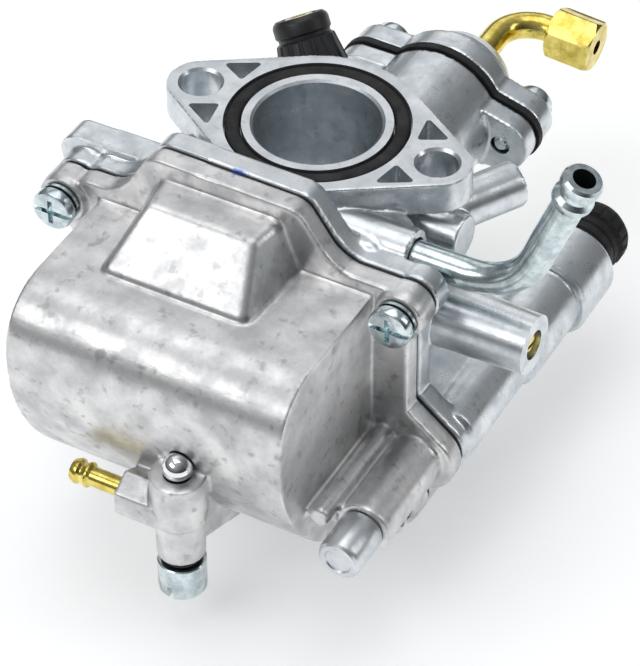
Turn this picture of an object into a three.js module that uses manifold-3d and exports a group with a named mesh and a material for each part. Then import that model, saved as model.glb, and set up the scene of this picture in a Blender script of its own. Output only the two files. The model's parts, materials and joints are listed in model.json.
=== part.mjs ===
// Slide carburettor for a small single-cylinder engine, in millimetres.
//
// The design frame has its origin where the bore meets the engine flange. +Z runs along the bore
// towards the engine, +Y along the throttle slide towards the cable, and -Y points into the float
// bowl. The finished group is moved up so that the air intake's rim stands at Z = 0.
import * as THREE from 'three';
import { mergeVertices } from 'three/addons/utils/BufferGeometryUtils.js';
import { ConvexGeometry } from 'three/addons/geometries/ConvexGeometry.js';
import Module from 'manifold-3d';

const wasm = await Module();
wasm.setup();

// ---------------------------------------------------------------- driving dimensions

const GAP = 0.3; // between any two pieces that touch
const BOLT_SPACING = 48; // engine flange
const FLANGE_THICKNESS = 6.5;
const FLANGE_BOLT_RADIUS = 3.7;
const OUTLET_RADIUS = 11.6; // bore at the engine
const VENTURI_RADIUS = 9;
const RING_GROOVE = [13.6, 16.9];
const RING_DEPTH = 2.4;
const INTAKE_Z = -67; // rim of the air intake
const INTAKE_RADIUS = 18.5;

const SLIDE_Z = -30; // the throttle slide's axis is x = 0, z = SLIDE_Z
const SLIDE_RADIUS = 10;
const SLIDE_TUBE_RADIUS = 12.8;
const SLIDE_BOTTOM = -9.6; // throttle closed
const SLIDE_TOP = 22;

const JOINT_Y = -23; // the body's face against the bowl
const GASKET_THICKNESS = 0.6;
const BOWL_Y = JOINT_Y - GASKET_THICKNESS - 2 * GAP;
const BOWL_FLANGE_Y = -28;
const DRUM_X = [-28.5, 26];
const DRUM_FRONT = -60.5;
const DRUM_TOP = -8.6;
const DRUM_BOTTOM = -57;
const BOWL_WALL = 2.5;
// Each bowl screw's x and z, and how far its thread reaches up into the body.
const BOWL_SCREWS = [[-36, -11, -14], [31.6, -10.2, -19], [-34.5, -52, -14], [31, -56, -14]];
const SCREW_BOSS_Y = -29.3;

const CAP_Y = 48; // the body's face against the cap
const CAP_GASKET_THICKNESS = 1.5;
const CAP_BASE_Y = CAP_Y + CAP_GASKET_THICKNESS + 2 * GAP;
const CAP_LUGS = { left: [-15.4, -26.6], right: [15.4, -30.8] }; // x and z
const CAP_LUG_THICKNESS = 5;
const CAP_LUG_RADIUS = 5.6;
const ELBOW_KNEE = new THREE.Vector3(0, 80.5, SLIDE_Z); // where the cable elbow turns
const ELBOW_WAY = new THREE.Vector3(0.997, 0, -0.078).normalize();
const ELBOW_BEND = 8;
const NUT_AT = 8.8; // along ELBOW_WAY from the knee

const WELL_X = 36.5; // the cold-start well and plunger share one axis
const WELL_Z = -43;
const PIPE_X = 35; // the well's cast pipe on the bowl

const INLET_Y = -15;
const INLET_Z = -8.5;
const VALVE_X = -5; // float needle and its seat
const MIXTURE_Y = -14;
const MIXTURE_Z = -20.5;
const MIXTURE_FACE_X = 50.5;

const FLOAT_PIN = [-5, -28.5, -3.4]; // x of its middle, y, z
const DRAIN_X = 6.2;
const DRAIN_Y = -61.3;
const DRAIN_BOSS_Z = [-50.2, -31.5];
const NIPPLE_Z = -40.6;
const BALL_RADIUS = 2.7;

// The idle screw slants down through the slide tube's wall. Distances along it are measured
// from the top of its knob.
const IDLE_TOP = new THREE.Vector3(-19.5, 28, -2.3);
const IDLE_WAY = new THREE.Vector3(0.507, -0.331, -0.797).normalize();
const IDLE_BOSS_AT = 13;
const IDLE_TIP_AT = 25.9;

// ---------------------------------------------------------------- materials

const finish = (color, roughness, metalness) =>
  new THREE.MeshStandardMaterial({ color, roughness, metalness });

const CAST = finish(0xc2c7c9, 0.42, 0.9);
const BOWL_CAST = finish(0xc8c4c0, 0.45, 0.9);
const ZINC = finish(0xa9b6bb, 0.28, 1);
const BRASS = finish(0xd9b53c, 0.25, 1);
const STEEL = finish(0xb9bdc1, 0.3, 1);
const CHROME = finish(0xdfe3e6, 0.08, 1);
const RUBBER = finish(0x141414, 0.75, 0);
const BLACK_PLASTIC = finish(0x17171a, 0.5, 0);
const FLOAT_PLASTIC = finish(0x2a2926, 0.6, 0);

// ---------------------------------------------------------------- solids

// A closed three.js geometry becomes a solid that can be joined and cut.
function solid(geometry) {
  const bare = geometry.clone();
  bare.deleteAttribute('normal');
  bare.deleteAttribute('uv');
  const merged = mergeVertices(bare, 1e-4);
  const corners = merged.index.array;
  const faces = [];
  for (let i = 0; i < corners.length; i += 3) {
    const [a, b, c] = corners.slice(i, i + 3);
    if (a !== b && b !== c && c !== a) faces.push(a, b, c);
  }
  return new wasm.Manifold(new wasm.Mesh({
    numProp: 3,
    vertProperties: new Float32Array(merged.attributes.position.array),
    triVerts: new Uint32Array(faces),
  }));
}

const join = (first, ...rest) => rest.reduce((sum, piece) => sum.add(piece), first);
const cut = (first, ...rest) => rest.reduce((left, piece) => left.subtract(piece), first);

function geometryOf(body) {
  const { vertProperties, triVerts } = body.getMesh();
  const geometry = new THREE.BufferGeometry();
  geometry.setAttribute('position', new THREE.BufferAttribute(vertProperties, 3));
  geometry.setIndex(new THREE.BufferAttribute(triVerts, 1));
  geometry.computeVertexNormals();
  return geometry;
}

const UP = [0, 1, 0]; // towards the cable
const DOWN = [0, -1, 0]; // into the bowl

const vector = (point) => (point.isVector3 ? point.clone() : new THREE.Vector3(...point));

// Turns a geometry built along +Z so that it starts at origin and runs along way.
function aim(geometry, origin, way) {
  const turn = new THREE.Quaternion().setFromUnitVectors(
    new THREE.Vector3(0, 0, 1),
    vector(way).normalize(),
  );
  geometry.applyQuaternion(turn);
  return geometry.translate(...vector(origin).toArray());
}

// A solid of revolution: profile points are [radius, distance along the axis].
function turned(profile, origin, way, sides = 16) {
  const points = profile.map(([radius, along]) => new THREE.Vector2(radius, along));
  const lathe = new THREE.LatheGeometry(points, sides).rotateX(Math.PI / 2);
  return solid(aim(lathe, origin, way));
}

// A round bar or cone between two points.
function rod(start, end, radius, sides = 16, endRadius = radius) {
  const [a, b] = [vector(start), vector(end)];
  const length = a.distanceTo(b);
  const profile = [[0, 0], [radius, 0], [endRadius, length], [0, length]];
  return turned(profile, a, b.sub(a), sides);
}

// A washer or sleeve.
function ring(inner, outer, origin, way, length, sides = 16) {
  const profile = [[inner, 0], [outer, 0], [outer, length], [inner, length], [inner, 0]];
  return turned(profile, origin, way, sides);
}

// The outline that a tight belt makes round some circles, given as [across, up, radius].
function belt(circles, steps = 12) {
  const points = circles.flatMap(([x, y, r]) => Array.from({ length: steps }, (_, i) => {
    const angle = (2 * Math.PI * i) / steps;
    return new THREE.Vector2(x + r * Math.cos(angle), y + r * Math.sin(angle));
  }));
  points.sort((a, b) => a.x - b.x || a.y - b.y);
  const side = (list) => {
    const chain = [];
    for (const point of list) {
      while (chain.length > 1) {
        const [a, b] = chain.slice(-2);
        if ((b.x - a.x) * (point.y - a.y) - (b.y - a.y) * (point.x - a.x) > 1e-6) break;
        chain.pop();
      }
      chain.push(point);
    }
    return chain.slice(0, -1);
  };
  return new THREE.Shape([...side(points), ...side([...points].reverse())]);
}

// How a flat outline's two directions and its thickness lie in the frame, for each plate axis.
const PLATE_BASES = {
  x: [[0, 1, 0], [0, 0, 1], [1, 0, 0]],
  y: [[1, 0, 0], [0, 0, 1], [0, -1, 0]],
  z: [[1, 0, 0], [0, 1, 0], [0, 0, 1]],
};

// A flat plate of the outline, square to axis, from low to high. edge rounds its rims.
function plate(shape, axis, low, high, edge = 0) {
  const extruded = new THREE.ExtrudeGeometry(shape, {
    depth: high - low - 2 * edge,
    curveSegments: 6,
    bevelEnabled: edge > 0,
    bevelThickness: edge,
    bevelSize: edge,
    bevelOffset: -edge,
    bevelSegments: 2,
  });
  extruded.translate(0, 0, edge);
  const basis = PLATE_BASES[axis].map((direction) => new THREE.Vector3(...direction));
  extruded.applyMatrix4(new THREE.Matrix4().makeBasis(...basis));
  const start = { x: [low, 0, 0], y: [0, high, 0], z: [0, 0, low] }[axis];
  return solid(extruded.translate(...start));
}

// A block between two opposite corners.
function block(low, high) {
  const size = high.map((value, i) => value - low[i]);
  const box = new THREE.BoxGeometry(...size);
  return solid(box.translate(...high.map((value, i) => (value + low[i]) / 2)));
}

const wedge = (points) => solid(new ConvexGeometry(points.map(vector)));

// A web of even thickness across x whose convex profile is given in y and z.
const webAcrossX = (profile, x0, x1) =>
  wedge([x0, x1].flatMap((x) => profile.map(([y, z]) => [x, y, z])));

class Helix extends THREE.Curve {
  constructor(radius, length, turns) {
    super();
    Object.assign(this, { radius, length, turns });
  }

  getPoint(t, target = new THREE.Vector3()) {
    const angle = 2 * Math.PI * this.turns * t;
    return target.set(
      this.radius * Math.cos(angle),
      this.radius * Math.sin(angle),
      this.length * t,
    );
  }

  getLength() {
    return Math.hypot(2 * Math.PI * this.radius * this.turns, this.length);
  }
}

const round = (radius, sides) => new THREE.Shape(
  Array.from({ length: sides }, (_, i) => {
    const angle = (2 * Math.PI * i) / sides;
    return new THREE.Vector2(radius * Math.cos(angle), radius * Math.sin(angle));
  }),
);

// A compression spring of round wire whose axis starts at origin.
function spring(radius, wire, length, turns, origin, way) {
  const geometry = new THREE.ExtrudeGeometry(round(wire, 5), {
    extrudePath: new Helix(radius, length - 2 * wire, turns),
    steps: turns * 8,
    bevelEnabled: false,
  });
  return solid(aim(geometry.translate(0, 0, wire), origin, way));
}

// A bent solid bar that follows a curve.
function bentBar(curve, radius, steps, sides = 12) {
  return solid(new THREE.ExtrudeGeometry(round(radius, sides), {
    extrudePath: curve,
    steps,
    bevelEnabled: false,
  }));
}

// A circular bend that leaves start along first and arrives along second.
class ArcCurve extends THREE.Curve {
  constructor(start, first, second, radius) {
    super();
    const inward = second.clone().addScaledVector(first, -first.dot(second)).normalize();
    Object.assign(this, { start, first, inward, radius, sweep: first.angleTo(second) });
  }

  getPoint(t, target = new THREE.Vector3()) {
    const angle = this.sweep * t;
    return target.copy(this.start)
      .addScaledVector(this.first, this.radius * Math.sin(angle))
      .addScaledVector(this.inward, this.radius * (1 - Math.cos(angle)));
  }
}

// A path that runs from start along first, bends at the corner and then runs along second until
// it ends tail away from the corner.
function elbowCurve(start, first, second, corner, bend, tail) {
  const [a, u, v] = [vector(start), vector(first).normalize(), vector(second).normalize()];
  const knee = a.clone().addScaledVector(u, corner);
  const reach = bend * Math.tan(u.angleTo(v) / 2);
  const path = new THREE.CurvePath();
  const bendStart = knee.clone().addScaledVector(u, -reach);
  const bendEnd = knee.clone().addScaledVector(v, reach);
  path.add(new THREE.LineCurve3(a, bendStart));
  path.add(new ArcCurve(bendStart, u, v, bend));
  path.add(new THREE.LineCurve3(bendEnd, knee.clone().addScaledVector(v, tail)));
  return path;
}

// A slotted cheese-head screw: its seat at origin and its head towards way.
function slottedScrew(head, height, shank, length, origin, way, slot = 1) {
  const edge = 0.5;
  const profile = [
    [0, -length], [shank - edge, -length], [shank, edge - length], [shank, 0],
    [head, 0], [head, height - edge], [head - edge, height], [0, height],
  ];
  const groove = new THREE.BoxGeometry(3 * head, slot, height);
  return cut(
    turned(profile, origin, way, 14),
    solid(aim(groove.translate(0, 0, height), origin, way)),
  );
}

// ---------------------------------------------------------------- shared outlines

// The joint between body and bowl, drawn in x and z.
function jointPlate(low, high) {
  const main = [[-31, -10, 4], [29, -9.8, 4], [-31, -53, 4], [29, -53, 4]];
  const raised = [[-16, 0.8, 4], [9.3, 0.4, 4], [-26, -12, 2], [20.4, -12, 2]];
  const well = [[PIPE_X + 0.6, WELL_Z - 0.5, 6.6], [29, -35, 4.2], [27, -50, 5]];
  const inward = ([x, z]) => [0.75 * x, 0.7 * z - 9.6, 7]; // where the lug's root meets the plate
  const lugs = BOWL_SCREWS.map(([x, z]) => [[x, z, 4.8], inward([x, z])]);
  const parts = [main, raised, well, ...lugs].map((circles) =>
    plate(belt(circles), 'y', low, high));
  return join(...parts);
}

// The bowl's drum drawn in y and z, shrunk by inset.
function drumOutline(openY, inset) {
  const corner = 11 - inset;
  const front = DRUM_FRONT + inset;
  const top = DRUM_TOP - inset;
  const bottom = DRUM_BOTTOM + inset;
  const shape = new THREE.Shape();
  shape.moveTo(openY, bottom);
  shape.lineTo(openY, top);
  shape.lineTo(front + corner, top);
  shape.absarc(front + corner, top - corner, corner, Math.PI / 2, Math.PI, false);
  shape.lineTo(front, -24);
  shape.bezierCurveTo(front, -37, -48, bottom + 1, -37, bottom);
  return shape;
}

// The box that stands over the float's hinge, drawn as a block with sloping sides.
function hingeBox(inset, openY) {
  const [left, right, top, front] = [-16.5 + inset, 9 - inset, 1.2 - inset, -36 + inset];
  const foot = DRUM_TOP - 2 - inset;
  const flare = 3;
  const run = 9;
  return wedge([
    [left, openY, top], [right, openY, top], [left + 1, front, top], [right - 1, front, top],
    [left - flare, openY, foot], [right + flare, openY, foot],
    [left - flare + 1, front - run, foot], [right + flare - 1, front - run, foot],
  ]);
}

// The hollow inside the bowl, from openY down.
function bowlHollow(openY) {
  return join(
    plate(drumOutline(openY, BOWL_WALL), 'x', DRUM_X[0] + BOWL_WALL, DRUM_X[1] - BOWL_WALL),
    hingeBox(BOWL_WALL, openY),
  );
}

// The joint between body and cap, drawn in x and z, grown by extra.
function capPlate(low, high, extra = 0) {
  const lug = ([x, z]) => belt([[x, z, CAP_LUG_RADIUS + extra], [0, SLIDE_Z, 9]]);
  return join(
    rod([0, low, SLIDE_Z], [0, high, SLIDE_Z], SLIDE_TUBE_RADIUS + extra, 24),
    ...Object.values(CAP_LUGS).map((place) => plate(lug(place), 'y', low, high)),
  );
}

// Round holes through both cap lugs.
const capLugHoles = (low, high, radius) => Object.values(CAP_LUGS).map(([x, z]) =>
  rod([x, low, z], [x, high, z], radius, 10));

const onIdleScrew = (distance) => IDLE_TOP.clone().addScaledVector(IDLE_WAY, distance);
const alongY = (x, z) => (low, high, radius, sides) => rod([x, low, z], [x, high, z], radius, sides);
const slideRod = alongY(0, SLIDE_Z);
const wellRod = alongY(WELL_X, WELL_Z);
const pipeRod = alongY(PIPE_X, WELL_Z);

// The ball that closes the top of the drain passage, or the pocket it sits in.
const ballAt = (radius) => solid(
  new THREE.SphereGeometry(radius, 14, 8).translate(DRAIN_X, DRAIN_Y, DRAIN_BOSS_Z[1] + 1.4),
);

// ---------------------------------------------------------------- castings

// One of the four lightening pockets beside the flange's bolt holes.
function flangePocket(side, up) {
  const corners = [[22.4, 6.6], [17.2, 9.6], [18.1, 4.3]];
  const outline = new THREE.Shape(corners.map(([x, y]) => new THREE.Vector2(side * x, up * y)));
  return plate(outline, 'z', -4.5, 1);
}

function airPassage() {
  const overrun = 1;
  const wall = [
    [OUTLET_RADIUS, overrun], [OUTLET_RADIUS, -6], [10.4, -16], [VENTURI_RADIUS, -21],
    [VENTURI_RADIUS, -39], [11.2, -48], [13.4, -58], [15.6, INTAKE_Z + 1.5],
    [16.4, INTAKE_Z], [16.4, INTAKE_Z - overrun],
  ];
  const profile = [[0, overrun], ...wall, [0, INTAKE_Z - overrun]].reverse();
  return turned(profile, [0, 0, 0], [0, 0, 1], 24);
}

function makeBody() {
  const half = BOLT_SPACING / 2;
  const flange = belt([[0, 0, 19.3], [-half, 0, 6.3], [half, 0, 6.3]], 24);
  const barrel = [
    [0, INTAKE_Z], [INTAKE_RADIUS - 0.6, INTAKE_Z], [INTAKE_RADIUS, INTAKE_Z + 0.6],
    [INTAKE_RADIUS, INTAKE_Z + 3], [17.3, INTAKE_Z + 4], [17.3, -54], [15, -49],
    [14.5, -20], [17, -8], [17, -3], [0, -3],
  ];
  const casting = join(
    plate(flange, 'z', -FLANGE_THICKNESS, 0),
    turned(barrel, [0, 0, 0], [0, 0, 1], 24),
    slideRod(-14.5, CAP_Y, SLIDE_TUBE_RADIUS, 24),
    capPlate(CAP_Y - 4.5, CAP_Y),
    plate(belt([[-18, -8, 5], [20, -10, 5], [20, -46, 5], [-18, -46, 5]]), 'y', -20, -9),
    jointPlate(JOINT_Y, -19),
    ...BOWL_SCREWS.map(([x, z, end]) => rod([x, end, z], [x, -20, z], 4.8)),
    plate(belt([[-38.6, -8.4, 3.6], [-37.5, -12, 4], [-20, -8.4, 4], [-20, -13, 4]]), 'y', -19.5, -13.6),
    rod([10, INLET_Y, INLET_Z], [27.5, INLET_Y, INLET_Z], 4.6),
    rod([10, MIXTURE_Y, MIXTURE_Z], [MIXTURE_FACE_X, MIXTURE_Y, MIXTURE_Z], 6, 28, 5.5),
    rod([12, -2.5, -12.8], [31, -2.5, -12.8], 4.2),
    rod([24, 0, -12], [32, 15, -12.6], 4.4),
    wellRod(-20, 4, 6.2),
    wellRod(3, 22, 7.2),
    wellRod(21, 33, 8.6, 18),
    plate(belt([[12, -37, 6], [WELL_X, WELL_Z, 5]]), 'y', -19.5, 9),
    rod(onIdleScrew(IDLE_BOSS_AT), onIdleScrew(27), 5),
    webAcrossX([[12, -3], [19, -5], [34, -18], [12, -18]], -2.5, 2.5),
    slideRod(-32.5, -10, 5),
    alongY(0, -42)(-30, -18, 3.4, 12),
    rod([VALVE_X, -20, INLET_Z], [VALVE_X, -12, INLET_Z], 6),
  );
  return cut(
    casting,
    airPassage(),
    slideRod(-11, CAP_Y + 1, SLIDE_RADIUS + 0.4, 24),
    turned(
      [[RING_GROOVE[0], -RING_DEPTH], [RING_GROOVE[1], -RING_DEPTH], [RING_GROOVE[1], 1],
        [RING_GROOVE[0], 1], [RING_GROOVE[0], -RING_DEPTH]],
      [0, 0, 0],
      [0, 0, 1],
      32,
    ),
    ...[-half, half].map((x) => rod([x, 0, -9], [x, 0, 1], FLANGE_BOLT_RADIUS)),
    ...[[1, 1], [1, -1], [-1, 1], [-1, -1]].map(([side, up]) => flangePocket(side, up)),
    ...BOWL_SCREWS.map(([x, z, end]) => rod([x, JOINT_Y - 1, z], [x, end - 0.8, z], 2.2, 10)),
    ...capLugHoles(41, CAP_Y + 1, 2),
    rod([VALVE_X, INLET_Y, INLET_Z], [28, INLET_Y, INLET_Z], 1.3, 10),
    rod([16, INLET_Y, INLET_Z], [37, INLET_Y, INLET_Z], 3.3),
    rod([VALVE_X, JOINT_Y - 1, INLET_Z], [VALVE_X, -14.8, INLET_Z], 3.5),
    rod([12, MIXTURE_Y, MIXTURE_Z], [24.5, MIXTURE_Y, MIXTURE_Z], 1.9, 10),
    rod([24, MIXTURE_Y, MIXTURE_Z], [52, MIXTURE_Y, MIXTURE_Z], 2.8),
    wellRod(4, 34, 5.5),
    alongY(PIPE_X + 0.8, WELL_Z)(-24, 5, 1.8, 10),
    rod(onIdleScrew(12), onIdleScrew(28), 2.2, 10),
    slideRod(-33, -9, 2.9, 12),
    alongY(0, -42)(-31, -19, 2.1, 10),
  );
}

function makeBowl() {
  const pipeEnd = -48;
  const drum = plate(drumOutline(-26, 0), 'x', DRUM_X[0], DRUM_X[1], 1.8);
  const [drainLow, drainHigh] = DRAIN_BOSS_Z;
  const casting = join(
    drum,
    jointPlate(BOWL_FLANGE_Y, BOWL_Y),
    hingeBox(0, -27),
    ...BOWL_SCREWS.map(([x, z]) => rod([x, SCREW_BOSS_Y, z], [x, -27, z], 4.6)),
    pipeRod(pipeEnd, -27, 5.1),
    alongY(28.6, -39.5)(-52.5, -27, 2, 10),
    plate(belt([[PIPE_X, WELL_Z, 3], [24, -42, 3]]), 'y', -47, -27),
    rod([DRAIN_X, DRAIN_Y, drainLow], [DRAIN_X, DRAIN_Y, drainHigh], 4.3),
    rod([DRAIN_X, DRAIN_Y, -41.5], [DRAIN_X, DRAIN_Y, drainHigh], 5.1),
    webAcrossX([[-58, -34], [DRAIN_Y, drainLow + 1.5], [-55.8, drainLow], [-38, -58.3], [-40, -44]], 4, 8.4),
    rod([-4.8, DRAIN_Y, NIPPLE_Z], [DRAIN_X, DRAIN_Y, NIPPLE_Z], 4.6, 6),
  );
  return cut(
    casting,
    bowlHollow(-20),
    ...BOWL_SCREWS.map(([x, z]) => rod([x, SCREW_BOSS_Y - 1, z], [x, -22, z], 2.2, 10)),
    pipeRod(pipeEnd - 1, -30, 3.4),
    pipeRod(-31, -22, 2, 10),
    rod([DRAIN_X, DRAIN_Y, drainLow - 1], [DRAIN_X, DRAIN_Y, drainHigh + 1], 1.3, 12),
    rod([DRAIN_X, DRAIN_Y, drainLow - 1], [DRAIN_X, DRAIN_Y, drainLow + 8], 2.3, 12),
    ballAt(BALL_RADIUS + GAP),
    rod([-8, DRAIN_Y, NIPPLE_Z], [DRAIN_X, DRAIN_Y, NIPPLE_Z], 1.2, 10),
    rod([-8, DRAIN_Y, NIPPLE_Z], [0, DRAIN_Y, NIPPLE_Z], 2.2, 12),
  );
}

function makeCap() {
  const top = 63;
  const dome = [
    [0, 0], [SLIDE_TUBE_RADIUS, 0], [SLIDE_TUBE_RADIUS, 3], [11.4, CAP_LUG_THICKNESS],
    [11, 7.2], [9, 10.5], [6.4, 12], [5.2, top - CAP_BASE_Y], [0, top - CAP_BASE_Y],
  ];
  const inside = [[0, -1], [9.2, -1], [9.2, 5.5], [7.9, 7.5], [0, 7.5]];
  const axis = [0, CAP_BASE_Y, SLIDE_Z];
  return cut(
    join(
      capPlate(CAP_BASE_Y, CAP_BASE_Y + CAP_LUG_THICKNESS),
      turned(dome, axis, [0, 1, 0], 18),
    ),
    turned(inside, axis, [0, 1, 0], 24),
    slideRod(52, top + 1, 1.4, 14),
    slideRod(59.6, top + 1, 2.9, 20),
    ...capLugHoles(CAP_Y, 56, 2.1),
  );
}

// ---------------------------------------------------------------- throttle

function makeSlide() {
  const floor = SLIDE_BOTTOM + 3.4;
  const [groovePoint, grooveOut] = [onIdleScrew(IDLE_TIP_AT), new THREE.Vector3(-0.67, 0, 0.74)];
  const body = cut(
    slideRod(SLIDE_BOTTOM, SLIDE_TOP, SLIDE_RADIUS, 24),
    slideRod(floor, SLIDE_TOP + 1, 8.1, 24),
    slideRod(SLIDE_BOTTOM - 1, floor + 1, 1.7, 14),
  );
  const slot = new THREE.BoxGeometry(4.4, 25, 2.4);
  slot.translate(0, groovePoint.y - 10.7, SLIDE_RADIUS + 0.1);
  slot.rotateY(Math.atan2(grooveOut.x, grooveOut.z)).translate(0, 0, SLIDE_Z);
  const cutaway = wedge([-12, 12].flatMap((x) => [
    [x, SLIDE_BOTTOM - 1, SLIDE_Z - 2], [x, SLIDE_BOTTOM - 1, SLIDE_Z - 11],
    [x, SLIDE_BOTTOM + 2.8, SLIDE_Z - 11],
  ]));
  return cut(body, solid(slot), cutaway);
}

function makeNeedle() {
  const profile = [
    [0, -31], [0.5, -31], [1.15, -9], [1.15, -5.9], [0.8, -5.8], [0.8, -5.1], [1.15, -5],
    [1.15, 2], [0.7, 2.8], [0, 2.8],
  ];
  return turned(profile, [0, 0, SLIDE_Z], [0, 1, 0], 14);
}

function makeNeedleClip() {
  return cut(
    ring(1.1, 3, [0, -5.75, SLIDE_Z], [0, 1, 0], 0.6, 20),
    block([-0.9, -7, SLIDE_Z], [0.9, -4, SLIDE_Z + 4]),
  );
}

function makeCableElbow() {
  const path = (startY, tail) => elbowCurve(
    [0, startY, SLIDE_Z], UP, ELBOW_WAY, ELBOW_KNEE.y - startY, ELBOW_BEND, tail,
  );
  return cut(
    join(
      bentBar(path(60, 15.4), 2.7, 12),
      ring(1.6, 3.6, [0, 63.4, SLIDE_Z], [0, 1, 0], 2, 24),
    ),
    bentBar(path(59, 16.4), 1.4, 12, 8),
  );
}

function makeAdjusterNut() {
  const along = (distance) => ELBOW_KNEE.clone().addScaledVector(ELBOW_WAY, NUT_AT + distance);
  const corner = 5.6;
  const profile = [
    [0, 0], [4.4, 0], [corner, 1], [corner, 8.5], [4.4, 9.5], [0, 9.5],
  ];
  return cut(
    turned(profile, along(0), ELBOW_WAY, 6),
    rod(along(-1), along(7), 3.1, 16),
    rod(along(0), along(11), 1.5, 14),
  );
}

// ---------------------------------------------------------------- adjusting screws

function makeIdleScrew() {
  const outward = IDLE_WAY.clone().negate();
  const tip = IDLE_TIP_AT;
  const profile = [
    [0, 0], [0.7, 0], [1.7, 2.4], [1.7, tip - 4.6], [2.85, tip - 4.4], [2.85, tip], [1.6, tip],
    [1.6, tip - 3], [0, tip - 3],
  ];
  return turned(profile, onIdleScrew(tip), outward, 20);
}

function makeIdleKnob() {
  const height = IDLE_BOSS_AT - GAP;
  const profile = [
    [4.3, 0], [6.5, 0], [6.6, 3], [5.6, 8.2], [5, 8.6], [5, 9.2], [5.4, 9.6], [5.3, height - 1],
    [4.6, height], [3.15, height], [3.15, height - 5], [4.3, height - 5.4], [4.3, 0],
  ];
  return turned(profile, onIdleScrew(height), IDLE_WAY.clone().negate(), 18);
}

function makeMixtureScrew() {
  const profile = [
    [0, 0], [0.5, 0], [1.5, 5], [1.5, 26.5], [2.3, 26.7], [2.3, 32], [1.6, 32.6], [0, 32.6],
  ];
  const place = [17.5, MIXTURE_Y, MIXTURE_Z];
  const slot = block(
    [48.7, MIXTURE_Y - 4, MIXTURE_Z - 0.45],
    [51, MIXTURE_Y + 4, MIXTURE_Z + 0.45],
  );
  return cut(turned(profile, place, [1, 0, 0], 20), slot);
}

// ---------------------------------------------------------------- fuel parts

function makeInletElbow() {
  const way = [0.358, 0, 0.934];
  const start = [17, INLET_Y, INLET_Z];
  const corner = 47.2 - start[0];
  const tail = 31.6;
  const outside = elbowCurve(start, [1, 0, 0], way, corner, 14, tail);
  const knee = vector([47.2, INLET_Y, INLET_Z]);
  const up = vector(way).normalize();
  const along = (distance) => knee.clone().addScaledVector(up, distance);
  return cut(
    join(
      bentBar(outside, 2.9, 12),
      turned(
        [[0, 0], [2.8, 0], [3.7, 0.9], [3.7, 2.2], [3, 3], [3, 4], [3.7, 4.9], [3.7, 6.4],
          [3.3, 6.9], [0, 6.9]],
        along(24.7),
        up,
        14,
      ),
    ),
    bentBar(elbowCurve([16, INLET_Y, INLET_Z], [1, 0, 0], way, 31.2, 14, tail + 2), 2.1, 12, 8),
  );
}

function makeFloat() {
  const [, pinY, pinZ] = FLOAT_PIN;
  const profile = [[-29.5, -18], [-44, -18], [-44, -32], [-39, -44], [-34, -49], [-29.5, -49]];
  const lobe = (x0, x1) => webAcrossX(profile, x0, x1);
  const arm = (x0, x1) => webAcrossX([
    [pinY + 1.2, pinZ + 1], [pinY - 1.5, pinZ + 1], [-29.5, -19], [-32, -19],
  ], x0, x1);
  return cut(
    join(
      lobe(-23.5, -7.5),
      lobe(7.5, 21),
      webAcrossX([[-29.5, -17], [-34, -17], [-34, -22], [-29.5, -22]], -22, 20),
      arm(-10.3, -8),
      arm(-0.5, 2),
      webAcrossX([[-27.3, -7.2], [-29, -7.2], [-29.8, -11], [-28.2, -11]], -9, 0),
    ),
    rod([-20, pinY, pinZ], [10, pinY, pinZ], 0.9, 14),
  );
}

function makeFloatNeedle() {
  const profile = [
    [0, -26.6], [1.1, -26.6], [1.45, -26.2], [1.45, -20.8], [0.45, -18.9], [0, -18.9],
  ];
  return turned(profile, [VALVE_X, 0, INLET_Z], [0, 1, 0], 16);
}

function makeNeedleSeat() {
  const profile = [
    [1.8, -25], [3.9, -25], [3.9, -23.3], [3.2, -23.3], [3.2, -15.2], [0.8, -15.2],
    [0.8, -19.2], [1.8, -20.4], [1.8, -25],
  ];
  return turned(profile, [VALVE_X, 0, INLET_Z], [0, 1, 0], 20);
}

// The two ears that carry the float's pin hang from the body into the bowl's hinge box.
function makePinStand() {
  const [, pinY, pinZ] = FLOAT_PIN;
  const ear = (x0, x1) => webAcrossX([
    [-20, -1.9], [-20, -5.6], [pinY - 1.8, pinZ + 1.4], [pinY - 1.8, pinZ - 1.6],
  ], x0, x1);
  const pair = join(ear(-12.6, -10.8), ear(2.4, 4.2));
  return cut(pair, rod([-16, pinY, pinZ], [6, pinY, pinZ], 0.9, 12));
}

function makeStarterPlunger() {
  const profile = [
    [0, 6], [1.2, 6], [1.6, 7], [4.8, 7.4], [4.8, 17], [2.6, 17.4], [2.6, 19], [1, 19.2],
    [1, 22], [0, 22],
  ];
  return turned(profile, [WELL_X, 0, WELL_Z], [0, 1, 0], 24);
}

function makeStarterCap() {
  const profile = [
    [0, 24.5], [4.9, 24.5], [4.9, 33.3], [6.3, 33.3], [6.3, 39.6], [7, 40.2], [7, 42.6],
    [5.4, 44.8], [0, 45.4],
  ];
  const bore = [[0, 23], [3, 23], [3, 38], [1.1, 39], [1.1, 47], [0, 47]];
  const axis = [WELL_X, 0, WELL_Z];
  return cut(turned(profile, axis, [0, 1, 0], 20), turned(bore, axis, [0, 1, 0], 12));
}

// ---------------------------------------------------------------- assembly

const carburettor = new THREE.Group();

function add(name, body, material) {
  const mesh = new THREE.Mesh(geometryOf(body), material);
  mesh.name = name;
  carburettor.add(mesh);
  return mesh;
}

function flangeRing() {
  const [inner, outer] = [RING_GROOVE[0] + GAP, RING_GROOVE[1] - GAP];
  const low = -RING_DEPTH + GAP;
  const profile = [
    [inner, low + 0.5], [inner + 0.5, low], [outer - 0.5, low], [outer, low + 0.5],
    [outer, -0.6], [outer - 0.7, -0.1], [inner + 0.7, -0.1], [inner, -0.6], [inner, low + 0.5],
  ];
  return turned(profile, [0, 0, 0], [0, 0, 1], 24);
}

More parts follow.
